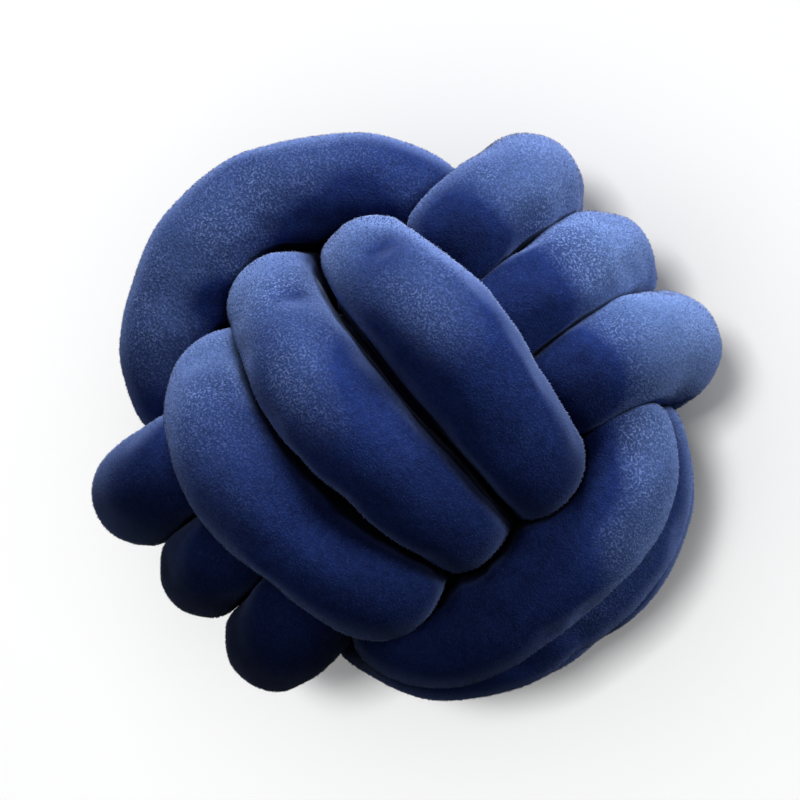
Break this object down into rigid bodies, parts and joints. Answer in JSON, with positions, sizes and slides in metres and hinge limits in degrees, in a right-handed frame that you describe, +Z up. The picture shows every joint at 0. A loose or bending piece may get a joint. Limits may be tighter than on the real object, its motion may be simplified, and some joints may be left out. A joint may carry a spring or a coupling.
{
  "type": "knot cushion",
  "caption": "Round decorative cushion made of one fibre-filled plush tube tied into a ball knot, for a sofa, bed or floor.",
  "frame": {"origin": "centre of the cushion's box, on the surface that it rests on", "axes": "+Z up through the face with the top turns, +X along the top turns, +Y across them"},
  "size_m": [0.3076, 0.305, 0.2768],
  "materials": {
    "plush": "navy blue short-pile plush with a soft sheen"
  },
  "bodies": {
    "root": {"knotted_tube": "plush"}
  },
  "joints": []
}
